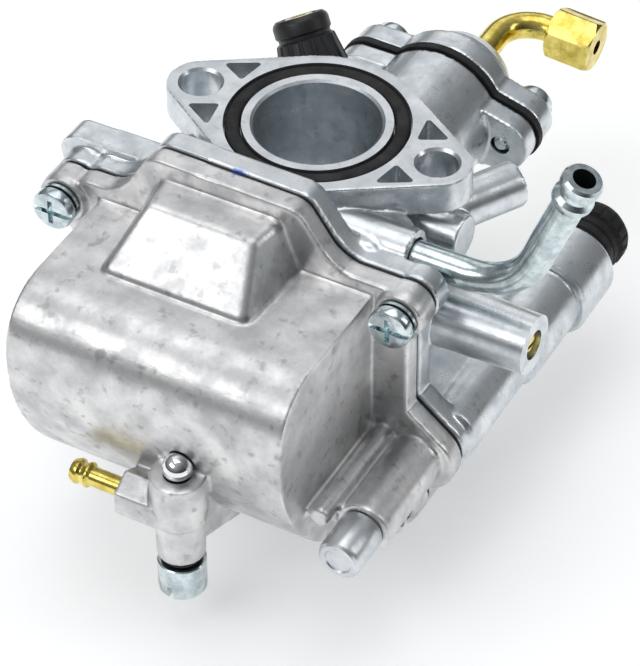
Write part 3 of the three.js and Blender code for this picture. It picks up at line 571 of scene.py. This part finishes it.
# ---------------------------------------------------------------- castings
def make_body():
    flange = belt([[0, 0, 19.3], [-BOLT_X, 0, 6.3], [BOLT_X, 0, 6.3]], 72)
    barrel = [
        [0, INTAKE_Z], [17.9, INTAKE_Z], [18.5, INTAKE_Z + 0.6], [18.5, INTAKE_Z + 3], [17.3, INTAKE_Z + 4],
        [17.3, -54], [15, -49], [14.5, -20], [17, -8], [17, -3], [0, -3],
    ]
    pin_ear = [(-20, -1.9), (-20, -5.6), (FLOAT_PIN_Y - 1.8, FLOAT_PIN_Z + 1.4),
               (FLOAT_PIN_Y - 1.8, FLOAT_PIN_Z - 1.6)]
    lumps = [
        plate(flange, "z", -6.5, 0),
        lathe(barrel, (0, 0, 0), Z, 96),
        along_y(0, SLIDE_Z, -14.5, CAP_Y, TUBE_RADIUS),
        *cap_plate(CAP_Y - 4.5, CAP_Y),
        plate(belt([[-18, -8, 5], [20, -10, 5], [20, -46, 5], [-18, -46, 5]]), "y", -20, -9),
        *joint_plate(JOINT_Y - GAP + 0.02, -19),
        plate(belt([[-38.6, -8.4, 3.6], [-37.5, -12, 4], [-20, -8.4, 4], [-20, -13, 4]]), "y", -19.5, -13.6),
        rod((10, INLET_Y, INLET_Z), (27.5, INLET_Y, INLET_Z), 4.6),
        rod((10, MIXTURE_Y, MIXTURE_Z), (MIXTURE_FACE_X, MIXTURE_Y, MIXTURE_Z), 6, 5.5),
        rod((12, -2.5, -12.8), (31, -2.5, -12.8), 4.2),
        rod((24, 0, -12), (32, 15, -12.6), 4.4),
        along_y(WELL_X, WELL_Z, -20, 4, 6.2),
        along_y(WELL_X, WELL_Z, 3, 22, 7.2),
        along_y(WELL_X, WELL_Z, 21, 33, 8.6),
        plate(belt([[12, -37, 6], [WELL_X, WELL_Z, 5]]), "y", -19.5, 9),
        rod(on_idle(IDLE_BOSS_AT), on_idle(27), 5),
        web([(12, -3), (19, -5), (34, -18), (12, -18)], -2.5, 2.5),
        along_y(0, SLIDE_Z, -32.5, -10, 5),
        along_y(0, -42, -30, -18, 3.4),
        rod((VALVE_X, -20, INLET_Z), (VALVE_X, -12, INLET_Z), 6),
        web(pin_ear, -12.6, -10.8),
        web(pin_ear, 2.4, 4.2),
    ]
    lumps += [along_y(x, z, end, -20, 4.8) for x, z, end in BOWL_SCREWS.values()]
    made = casting(lumps, 6)
    rim = [
        [0, 20.6], [7.9, 20.6], [8.6, 21.4], [8.6, 32.4], [8.2, 32.9], [7.0, 33], [0, 33],
    ]
    combine(made, [
        bevelled(flange, "z", -6.5, 0, 0.45),
        lathe(rim, (WELL_X, 0, WELL_Z), UP, 80),
        rod((30, MIXTURE_Y, MIXTURE_Z), (MIXTURE_FACE_X, MIXTURE_Y, MIXTURE_Z), 6.02, 5.56),
        lathe([[0, 0], [4.6, 0], [4.6, 1.7], [4.2, 2.1], [0, 2.1]], (25.4, INLET_Y, INLET_Z), X, 48),
    ], "UNION")
    passage = [
        [0, -68], [16.4, -68], [16.4, INTAKE_Z], [15.6, INTAKE_Z + 1.5], [13.4, -58], [11.2, -48], [9, -39],
        [9, -21], [10.4, -16], [11.6, -6], [11.6, -0.4], [12.1, 0], [12.1, 1], [0, 1],
    ]
    cuts = [
        lathe(passage, (0, 0, 0), Z, 96),
        along_y(0, SLIDE_Z, -11, CAP_Y + 1, 10.4),
        lathe([[RING_GROOVE[0], -RING_DEPTH], [RING_GROOVE[1], -RING_DEPTH], [RING_GROOVE[1], 1],
               [RING_GROOVE[0], 1], [RING_GROOVE[0], -RING_DEPTH]], (0, 0, 0), Z, 96),
        rod((VALVE_X, INLET_Y, INLET_Z), (28, INLET_Y, INLET_Z), 1.3, sides=24),
        rod((16, INLET_Y, INLET_Z), (37, INLET_Y, INLET_Z), 3.3),
        along_y(VALVE_X, INLET_Z, JOINT_Y - 1, -14.8, 3.5),
        rod((12, MIXTURE_Y, MIXTURE_Z), (24.5, MIXTURE_Y, MIXTURE_Z), 1.9, sides=24),
        rod((24, MIXTURE_Y, MIXTURE_Z), (52, MIXTURE_Y, MIXTURE_Z), 2.8),
        along_y(WELL_X, WELL_Z, 4, 34, 5.5),
        along_y(PIPE_X + 0.8, WELL_Z, -24, 5, 1.8, 24),
        rod(on_idle(12), on_idle(28), 2.2, sides=32),
        along_y(0, SLIDE_Z, -33, -9, 2.9, 32),
        along_y(0, -42, -31, -19, 2.1, 24),
        rod((-16, FLOAT_PIN_Y, FLOAT_PIN_Z), (6, FLOAT_PIN_Y, FLOAT_PIN_Z), 0.9, sides=24),
        *lug_holes(41, CAP_Y + 1, 2),
    ]
    cuts += [lathe([[0, -9], [3.7, -9], [3.7, -0.5], [4.3, 0.1], [4.3, 1], [0, 1]], (x, 0, 0), Z)
             for x in (-BOLT_X, BOLT_X)]
    pocket = [(22.4, 6.6), (17.2, 9.6), (18.1, 4.3)]
    for side in (1, -1):
        for up in (1, -1):
            rounded = belt([[side * (x * 0.86 + 2.7), up * (y * 0.86 + 0.96), 0.55] for x, y in pocket], 24)
            cuts.append(plate(rounded, "z", -4.5, 1))
    cuts += [along_y(x, z, JOINT_Y - 1, end - 0.8, 2.2, 32) for x, z, end in BOWL_SCREWS.values()]
    combine(made, cuts, "DIFFERENCE")
    made = finish_piece(made, "body_casting", "main_body", BODY, [CAST, MACHINED])
    flange_z = ORIGIN.z - 0.05 * MM
    for face in made.data.polygons:
        if face.normal.z > 0.98 and face.center.z > flange_z:
            face.material_index = 1


def make_bowl():
    pipe_end = -48
    lumps = [
        plate(drum_outline(-26, 0), "x", *DRUM_X),
        *joint_plate(BOWL_FLANGE_Y, BOWL_Y + GAP - 0.02),
        hinge_box(0, -24.5, 2.0),
        along_y(PIPE_X, WELL_Z, pipe_end, -27, 5.1),
        along_y(28.6, -39.5, -52.5, -27, 2),
        plate(belt([[PIPE_X, WELL_Z, 3], [24, -42, 3]]), "y", -47, -27),
        rod((DRAIN_X, DRAIN_Y, DRAIN_LOW), (DRAIN_X, DRAIN_Y, DRAIN_HIGH), 4.4),
        rod((DRAIN_X, DRAIN_Y, -41.5), (DRAIN_X, DRAIN_Y, DRAIN_HIGH), 5.1),
        web([(-58, -34), (DRAIN_Y, DRAIN_LOW + 1.5), (-55.8, DRAIN_LOW), (-38, -58.3), (-40, -44)], 4, 8.4),
        rod((-4.8, DRAIN_Y, NIPPLE_Z), (DRAIN_X, DRAIN_Y, NIPPLE_Z), 4.7, sides=6),
    ]
    lumps += [along_y(x, z, SCREW_BOSS_Y, -27, 4.6) for x, z, _ in BOWL_SCREWS.values()]
    made = casting(lumps, 9)
    cuts = [
        *bowl_hollow(-20),
        along_y(PIPE_X, WELL_Z, pipe_end - 1, -30, 3.4),
        along_y(PIPE_X, WELL_Z, -31, -22, 2, 24),
        rod((DRAIN_X, DRAIN_Y, DRAIN_LOW - 1), (DRAIN_X, DRAIN_Y, DRAIN_HIGH + 1), 1.3, sides=24),
        rod((DRAIN_X, DRAIN_Y, DRAIN_LOW - 1), (DRAIN_X, DRAIN_Y, DRAIN_LOW + 8), 2.3, sides=32),
        ball(3.0),
        rod((-8, DRAIN_Y, NIPPLE_Z), (DRAIN_X, DRAIN_Y, NIPPLE_Z), 1.2, sides=24),
        rod((-8, DRAIN_Y, NIPPLE_Z), (0, DRAIN_Y, NIPPLE_Z), 2.2, sides=32),
    ]
    cuts += [along_y(x, z, SCREW_BOSS_Y - 1, -22, 2.2, 32) for x, z, _ in BOWL_SCREWS.values()]
    combine(made, cuts, "DIFFERENCE")
    finish_piece(made, "bowl_casting", "float_bowl", BODY, [BOWL])


def make_cap():
    top = 63 - CAP_BASE_Y
    dome = [
        [0, 0], [TUBE_RADIUS, 0], [TUBE_RADIUS, 3], [11.4, CAP_LUG_THICKNESS], [11, 7.2], [9, 10.5],
        [6.4, 12],
        [5.2, top], [0, top],
    ]
    axis = (0, CAP_BASE_Y, SLIDE_Z)
    made = casting([*cap_plate(CAP_BASE_Y, CAP_BASE_Y + CAP_LUG_THICKNESS), lathe(dome, axis, UP, 72)], 6)
    combine(made, [
        lathe([[0, -1], [9.2, -1], [9.2, 5.5], [7.9, 7.5], [0, 7.5]], axis, UP),
        along_y(0, SLIDE_Z, 52, 64, 1.4, 24),
        along_y(0, SLIDE_Z, 59.6, 64, 2.9, 32),
        *lug_holes(CAP_Y, 57, 2.1),
    ], "DIFFERENCE")
    finish_piece(made, "slide_cap", "throttle_cap", BODY, [CAST])


# ---------------------------------------------------------------- fasteners
def screw(head, height, shank, length, origin, way, cross=False, slot=0.9):
    """A cheese-head screw with a slot or a slotted cross."""
    profile = [
        [0, -length], [shank - 0.6, -length], [shank, 0.6 - length], [shank, 0], [head - 0.2, 0],
        [head, 0.2], [head, height - 0.7], [head - 0.25, height - 0.25], [head - 0.8, height], [0, height],
    ]
    made = scratch(lathe(profile, origin, way, 64))
    turn = Z.rotation_difference(Vector(way).normalized())

    def groove(size_x, size_y, depth):
        corners = [Vector((x * size_x / 2, y * size_y / 2, z)) for x in (-1, 1) for y in (-1, 1)
                   for z in (height - depth, height + 1)]
        return hull([Vector(origin) + turn @ corner for corner in corners])

    tools = [groove(3 * head, slot, height * 0.42)]
    if cross:
        wide, long, deep = slot * 1.1, head * 1.25, height * 0.75
        tools += [groove(wide, long, deep), groove(long, wide, deep)]
    combine(made, tools, "DIFFERENCE")
    return made


def lock_washer(inner, outer, origin, way, height):
    """A split spring washer: one turn of flat wire with its ends a little apart."""
    turn = Z.rotation_difference(Vector(way).normalized())
    thick, points, faces = height * 0.72, [], []
    steps = 60
    for i in range(steps + 1):
        angle = math.radians(6) + math.radians(348) * i / steps
        rise = (height - thick) * i / steps
        for radius, along in ((inner, rise), (outer, rise), (outer, rise + thick), (inner, rise + thick)):
            local = Vector((radius * math.cos(angle), radius * math.sin(angle), along))
            points.append(Vector(origin) + turn @ local)
    for i in range(steps):
        for j in range(4):
            k = (j + 1) % 4
            faces.append([4 * i + j, 4 * i + k, 4 * i + 4 + k, 4 * i + 4 + j])
    faces += [[0, 1, 2, 3], [4 * steps + 3, 4 * steps + 2, 4 * steps + 1, 4 * steps]]
    return scratch(closed(points, faces))


def fasten():
    for name, (x, z, end) in BOWL_SCREWS.items():
        washer_y = SCREW_BOSS_Y - GAP
        washer = lock_washer(2.3, 3.9, (x, washer_y, z), DOWN, 0.9)
        finish_piece(washer, f"split_washer_{name}", f"lock_washer_{name}", BODY, [ZINC])
        seat = washer_y - 0.9 - GAP
        made = screw(4, 2.3, 1.85, end - 1.6 - seat, (x, seat, z), DOWN, cross=True)
        finish_piece(made, f"bowl_fastener_{name}", f"bowl_screw_{name}", BODY, [ZINC])
    for name, (x, z) in CAP_LUGS.items():
        washer_y = CAP_BASE_Y + CAP_LUG_THICKNESS + GAP
        washer = lock_washer(2.2, 3.8, (x, washer_y, z), UP, 0.9)
        finish_piece(washer, f"split_cap_washer_{name}", f"cap_washer_{name}", BODY, [ZINC])
        made = screw(3.8, 2.6, 1.7, 13, (x, washer_y + 0.9 + GAP, z), UP, cross=True)
        finish_piece(made, f"cap_fastener_{name}", f"cap_screw_{name}", BODY, [ZINC])


# ---------------------------------------------------------------- seals
def make_seals():
    inner, outer, low = RING_GROOVE[0] + GAP, RING_GROOVE[1] - GAP, -RING_DEPTH + GAP
    profile = [
        [inner, low + 0.5], [inner + 0.5, low], [outer - 0.5, low], [outer, low + 0.5], [outer, -0.6],
        [outer - 0.2, -0.3], [outer - 0.7, -0.1], [inner + 0.7, -0.1], [inner + 0.2, -0.3], [inner, -0.6],
        [inner, low + 0.5],
    ]
    made = scratch(lathe(profile, (0, 0, 0), Z, 120))
    finish_piece(made, "flange_seal_ring", "flange_o_ring", BODY, [RUBBER], 50)
    gasket = fused(joint_plate(JOINT_Y - GAP - 0.6, JOINT_Y - GAP, 0.45))
    holes = [along_y(x, z, -25, -22, 2.2, 24) for x, z, _ in BOWL_SCREWS.values()]
    combine(gasket, [*bowl_hollow(-20), *holes, along_y(PIPE_X, WELL_Z, -25, -22, 2, 24)], "DIFFERENCE")
    finish_piece(gasket, "bowl_seal", "bowl_gasket", BODY, [RUBBER])
    gasket = fused(cap_plate(CAP_Y + GAP, CAP_Y + GAP + 1.5, 0.4))
    combine(gasket, [along_y(0, SLIDE_Z, CAP_Y - 1, CAP_BASE_Y + 1, 10.6),
                     *lug_holes(CAP_Y - 1, CAP_BASE_Y + 1, 2.2)], "DIFFERENCE")
    finish_piece(gasket, "cap_seal", "cap_gasket", BODY, [RUBBER])
    seal = scratch(ring(2.3, 3.7, (DRAIN_X, DRAIN_Y, DRAIN_LOW - GAP), -Z, 1, 0.3))
    finish_piece(seal, "drain_washer", "drain_seal", BODY, [RUBBER])


# ---------------------------------------------------------------- cable and fuel pipes
def make_cable_elbow():
    def path(start_y, tail):
        return elbow((0, start_y, SLIDE_Z), UP, ELBOW_WAY, ELBOW_KNEE.y - start_y, ELBOW_BEND, tail)

    made = scratch(sweep(path(60, 15.4), 2.7))
    collar = [[0, 0], [3.3, 0], [3.6, 0.3], [3.6, 1.7], [3.3, 2], [0, 2]]
    combine(made, [lathe(collar, (0, 63.4, SLIDE_Z), UP)],
            "UNION")
    combine(made, [sweep(path(59, 16.4), 1.4, 16)], "DIFFERENCE")
    finish_piece(made, "cable_pipe", "cable_elbow", BODY, [BRASS])

    start = ELBOW_KNEE + NUT_AT * ELBOW_WAY
    made = scratch(lathe([[0, 0], [5.6, 0], [5.6, 9.5], [0, 9.5]], start, ELBOW_WAY, 6))
    chamfer = lathe([[0, 0], [4.8, 0], [5.6, 0.75], [5.6, 8.75], [4.8, 9.5], [0, 9.5]], start, ELBOW_WAY, 72)
    combine(made, [chamfer], "INTERSECT")
    combine(made, [rod(start - ELBOW_WAY, start + 7 * ELBOW_WAY, 3.1),
                   rod(start, start + 11 * ELBOW_WAY, 1.5)], "DIFFERENCE")
    bevel = made.modifiers.new("bevel", "BEVEL")
    bevel.width, bevel.segments, bevel.limit_method, bevel.angle_limit = 0.18, 2, "ANGLE", math.radians(40)
    bake(made)
    finish_piece(made, "cable_nut", "cable_adjuster_nut", "cable_adjuster", [BRASS])


def make_inlet():
    way = Vector((0.358, 0, 0.934)).normalized()
    corner = 47.2 - 17
    path = elbow((17, INLET_Y, INLET_Z), X, way, corner, 14, 31.6)
    knee = Vector((47.2, INLET_Y, INLET_Z))
    barb = [(24.7, 2.9), (25.6, 3.55), (26.0, 3.7), (26.9, 3.7), (27.7, 3.0), (28.7, 3.0), (29.5, 3.65),
            (30.2, 3.7), (31.1, 3.6), (31.6, 3.2)]
    straight = [point for point in path if (point - knee).dot(way) <= 24.5]
    radii = [2.9] * len(straight) + [radius for _, radius in barb]
    made = scratch(sweep(straight + [knee + along * way for along, _ in barb], radii, 36))
    combine(made, [sweep(elbow((16, INLET_Y, INLET_Z), X, way, corner + 1, 14, 34), 2.1, 24)], "DIFFERENCE")
    finish_piece(made, "fuel_pipe", "fuel_inlet_elbow", BODY, [ZINC])


# ---------------------------------------------------------------- adjusters
def make_adjusters():
    outward, tip = -IDLE_WAY, IDLE_TIP_AT
    profile = [
        [0, 0], [0.7, 0], [1.7, 2.4], [1.7, tip - 4.8], [2.85, tip - 4.6], [2.85, tip - 0.3], [2.6, tip],
        [1.6, tip], [1.6, tip - 3], [0, tip - 3],
    ]
    made = scratch(lathe(profile, on_idle(tip), outward))
    finish_piece(made, "idle_screw_brass", "idle_screw", "idle_adjuster", [BRASS])
    height = IDLE_BOSS_AT - GAP
    profile = [
        [4.3, 0], [6.4, 0], [6.5, 0.4], [6.6, 3], [5.6, 8.2], [5, 8.6], [5, 9.2], [5.4, 9.6],
        [5.4, height - 1.2], [5.2, height - 0.6], [4.6, height], [3.5, height], [3.15, height - 0.3],
        [3.15, height - 5], [4.3, height - 5.4], [4.3, 0],
    ]
    made = scratch(lathe(profile, on_idle(height), outward, 72))
    turn = Z.rotation_difference(outward)
    flutes = []
    for i in range(16):
        angle = 2 * math.pi * i / 16
        side = turn @ Vector((math.cos(angle), math.sin(angle), 0))
        low = on_idle(height) + side * 6.85 + outward * 0.2
        flutes.append(rod(low - outward, low + outward * 8.6 - side * 1.1, 0.5, sides=12))
    combine(made, flutes, "DIFFERENCE")
    finish_piece(made, "idle_knob_ribbed", "idle_knob", "idle_adjuster", [PLASTIC])
    made = scratch(coil(3, 0.4, 6.8, 4, on_idle(IDLE_BOSS_AT - GAP), outward))
    finish_piece(made, "idle_screw_spring", "idle_spring", BODY, [STEEL])

    place = (17.5, MIXTURE_Y, MIXTURE_Z)
    profile = [[0, 0], [0.5, 0], [1.5, 5], [1.5, 26.5], [2.3, 26.7], [2.3, 31.3], [2.15, 31.8], [1.8, 32.2],
               [1.2, 32.5], [0, 32.6]]
    made = scratch(lathe(profile, place, X))
    slot = block((49.2, MIXTURE_Y - 4, MIXTURE_Z - 0.35), (51, MIXTURE_Y + 4, MIXTURE_Z + 0.4))
    combine(made, [slot], "DIFFERENCE")
    finish_piece(made, "mixture_screw_brass", "mixture_screw", "mixture_adjuster", [BRASS])


# ---------------------------------------------------------------- cold start, plug, drain
def make_starter():
    axis = (WELL_X, 0, WELL_Z)
    profile = [
        [0, 24.5], [4.9, 24.5], [4.9, 33.3], [5.9, 33.3], [6.3, 33.7], [6.3, 35.2], [5.9, 35.6], [6.3, 36.0],
        [6.3, 37.4], [5.9, 37.8], [6.3, 38.2], [6.3, 39.6], [7, 40.2], [7, 42.4], [6.6, 43.4], [5.4, 44.8],
        [4.6, 45.2], [0, 45.4],
    ]
    made = scratch(lathe(profile, axis, UP, 72))
    bore = [[0, 23], [3, 23], [3, 38], [1.1, 39], [1.1, 45], [1.7, 45.6], [1.7, 47], [0, 47]]
    combine(made, [lathe(bore, axis, UP, 36)], "DIFFERENCE")
    flutes = []
    for i in range(20):
        angle = 2 * math.pi * i / 20
        x, z = WELL_X + 7.15 * math.cos(angle), WELL_Z + 7.15 * math.sin(angle)
        flutes.append(along_y(x, z, 39.5, 46, 0.5, 12))
    combine(made, flutes, "DIFFERENCE")
    finish_piece(made, "starter_top", "starter_cap", BODY, [RUBBER])
    profile = [[0, 0], [3.1, 0], [3.1, 10], [4.0, 10.2], [4.1, 10.5], [4.1, 18.0], [3.9, 18.6], [3.4, 19],
               [2.6, 19], [2.4, 18.7], [0, 18.6]]
    made = scratch(lathe(profile, (PIPE_X, -38, WELL_Z), DOWN, 72))
    finish_piece(made, "well_plug", "starter_well_plug", BODY, [MACHINED])


def make_drain():
    made = screw(4.4, 7.3, 1.9, 6.4, (DRAIN_X, DRAIN_Y, DRAIN_LOW - 1.6), -Z, slot=1.1)
    finish_piece(made, "drain_plug", "drain_screw", "drain", [ZINC])
    finish_piece(scratch(ball(2.7)), "passage_ball", "drilling_ball", BODY, [CHROME])
    profile = [
        [1, 0], [1.8, 0], [1.8, 11], [2.35, 11.5], [2.4, 11.8], [1.9, 12.7], [1.9, 13], [2.35, 13.5],
        [2.4, 13.9], [1.95, 14.9], [1.5, 15], [1, 14.8], [1, 0],
    ]
    made = scratch(lathe(profile, (-0.4, DRAIN_Y, NIPPLE_Z), -X))
    finish_piece(made, "drain_nipple", "overflow_nipple", BODY, [BRASS])


# ---------------------------------------------------------------- inner pieces
def make_slide():
    made = scratch(lathe([[0, -9.6], [9.7, -9.6], [10, -9.3], [10, 21.7], [9.7, 22], [0, 22]],
                         (0, 0, SLIDE_Z), UP, 96))
    tip = on_idle(IDLE_TIP_AT)
    turn = Matrix.Rotation(math.atan2(-0.67, 0.74), 3, "Y")
    slot = [Vector((0, 0, SLIDE_Z)) + turn @ Vector((x, tip.y - 10.7 + y, 10.1 + z))
            for x in (-2.2, 2.2) for y in (-12.5, 12.5) for z in (-1.2, 1.2)]
    combine(made, [
        along_y(0, SLIDE_Z, -6.2, 23, 8.1),
        along_y(0, SLIDE_Z, -10.6, -5.2, 1.7, 32),
        hull(slot),
        web([(-10.6, SLIDE_Z - 2), (-10.6, SLIDE_Z - 11), (-6.8, SLIDE_Z - 11)], -12, 12),
    ], "DIFFERENCE")
    finish_piece(made, "throttle_piston", "throttle_slide", "throttle", [MACHINED])


def make_return_springs():
    """The two springs that a joint shortens, each held at its far end. Each is coiled once, at one fixed
    length.
    """
    for name, node_name, joint, travel, radius, wire, length, turns, start in (
        ("throttle_return_spring", "throttle_spring", "throttle_lift",
         19, 6.6, 0.55, 60.6, 7, (0, -3.4, SLIDE_Z)),
        ("starter_return_spring", "starter_spring", "starter_lift",
         5, 2.3, 0.3, 12, 5, (WELL_X, 19.4, WELL_Z)),
    ):
        made = scratch(coil(radius, wire, length, turns, start, UP))
        finish_piece(made, name, node_name, BODY, [STEEL])
        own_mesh(made)


def dress_inner_nodes(replaced):
    """CAD nodes that stay get their slot's finish."""
    slots = {part["node"]: part["material_slot"] for part in frame["record"]["subparts"]}
    for name, made in frame["nodes"].items():
        if name in replaced:
            continue
        made.data.materials.clear()
        made.data.materials.append(FINISH[slots[name]])


# ---------------------------------------------------------------- studio
def studio():
    floor_mesh = bpy.data.meshes.new("floor")
    size = 3.0
    floor_mesh.from_pydata([(-size, -size, 0), (size, -size, 0), (size, size, 0), (-size, size, 0)], [],
                           [(0, 1, 2, 3)])
    floor = bpy.data.objects.new("floor", floor_mesh)
    bpy.context.scene.collection.objects.link(floor)
    paper = bpy.data.materials.new("paper")
    paper.use_nodes = True
    tree = paper.node_tree
    shader = tree.nodes["Principled BSDF"]
    where = node(tree, "ShaderNodeTexCoord").outputs["Object"]
    tree.links.new(spread(tree, noise_at(tree, where, 3.0), 0.3, 0.7, 0.75, 0.85), shader.inputs["Roughness"])
    shader.inputs["Base Color"].default_value = (0.93, 0.935, 0.94, 1)
    shader.inputs["Emission Color"].default_value = (1, 1, 1, 1)
    shader.inputs["Emission Strength"].default_value = 0.34
    floor.data.materials.append(paper)

    world = bpy.data.worlds.new("studio")
    world.use_nodes = True
    bpy.context.scene.world = world
    tree = world.node_tree
    background = tree.nodes["Background"]
    where = node(tree, "ShaderNodeTexCoord").outputs["Generated"]
    parts = node(tree, "ShaderNodeSeparateXYZ", [("Vector", where)])
    height = spread(tree, parts.outputs["Z"], 0.0, 0.8, 0.07, 0.5)
    side = spread(tree, parts.outputs["X"], 0.1, 0.8, 1.0, 0.35)
    glow = node(tree, "ShaderNodeMath", operation="MULTIPLY")
    tree.links.new(height, glow.inputs[0])
    tree.links.new(side, glow.inputs[1])
    background.inputs["Color"].default_value = (0.94, 0.97, 1.0, 1)
    tree.links.new(glow.outputs[0], background.inputs["Strength"])

    middle = ORIGIN + Vector((0, -0.01, -0.03))

    def softbox(name, way, distance, width, depth, glare):
        """An area light in that direction from the part. glare is how bright its face looks."""
        light = bpy.data.lights.new(name, "AREA")
        light.shape, light.size, light.size_y = "RECTANGLE", width, depth
        light.energy = glare * math.pi * width * depth
        made = bpy.data.objects.new(name, light)
        bpy.context.scene.collection.objects.link(made)
        way = Vector(way).normalized()
        made.location = middle + distance * way
        made.rotation_euler = (-way).to_track_quat("-Z", "Y").to_euler()

    softbox("front_box", (-0.36, -0.66, 0.66), 0.9, 0.62, 0.30, 2.9)
    softbox("top_box", (-0.1, 0.1, 1.0), 1.0, 0.9, 0.8, 1.3)
    softbox("back_box", (-0.45, 0.7, 0.5), 1.0, 0.9, 0.5, 0.7)
    softbox("right_box", (0.8, 0.35, 0.5), 0.9, 0.16, 0.5, 3.0)
    bpy.context.scene.view_settings.view_transform = "Standard"


def camera():
    azimuth, elevation, roll = (math.radians(value) for value in (29.2, 42.5, -0.5))
    back = Vector((math.sin(azimuth) * math.cos(elevation), -math.cos(azimuth) * math.cos(elevation),
                   math.sin(elevation)))
    right = Vector((math.cos(azimuth), math.sin(azimuth), 0))
    up = back.cross(right)
    rolled_right = math.cos(roll) * right + math.sin(roll) * up
    rolled_up = -math.sin(roll) * right + math.cos(roll) * up
    data = bpy.data.cameras.new("camera")
    data.lens, data.sensor_width = 181.6, 36
    data.clip_start, data.clip_end = 0.05, 20
    made = bpy.data.objects.new("camera", data)
    bpy.context.scene.collection.objects.link(made)
    turn = Matrix((rolled_right, rolled_up, back)).transposed().to_4x4()
    look = ORIGIN + MM * Vector((11.25, -19.93, -30.0))
    made.matrix_world = Matrix.Translation(look + 0.6 * back) @ turn
    bpy.context.scene.camera = made


camera()
studio()
make_body()
make_bowl()
make_cap()
fasten()
make_seals()
make_cable_elbow()
make_inlet()
make_adjusters()
make_starter()
make_drain()
make_slide()
make_return_springs()
REPLACED = {
    "main_body", "float_bowl", "throttle_cap", "flange_o_ring", "bowl_gasket", "cap_gasket", "drain_seal",
    "cable_elbow", "cable_adjuster_nut", "fuel_inlet_elbow", "idle_screw", "idle_knob", "idle_spring",
    "mixture_screw", "starter_cap", "starter_well_plug", "drain_screw", "drilling_ball", "overflow_nipple",
    "throttle_slide", "throttle_spring", "starter_spring", *(f"lock_washer_{name}" for name in BOWL_SCREWS),
    *(f"bowl_screw_{name}" for name in BOWL_SCREWS), *(f"cap_washer_{name}" for name in CAP_LUGS),
    *(f"cap_screw_{name}" for name in CAP_LUGS),
}
dress_inner_nodes(REPLACED)
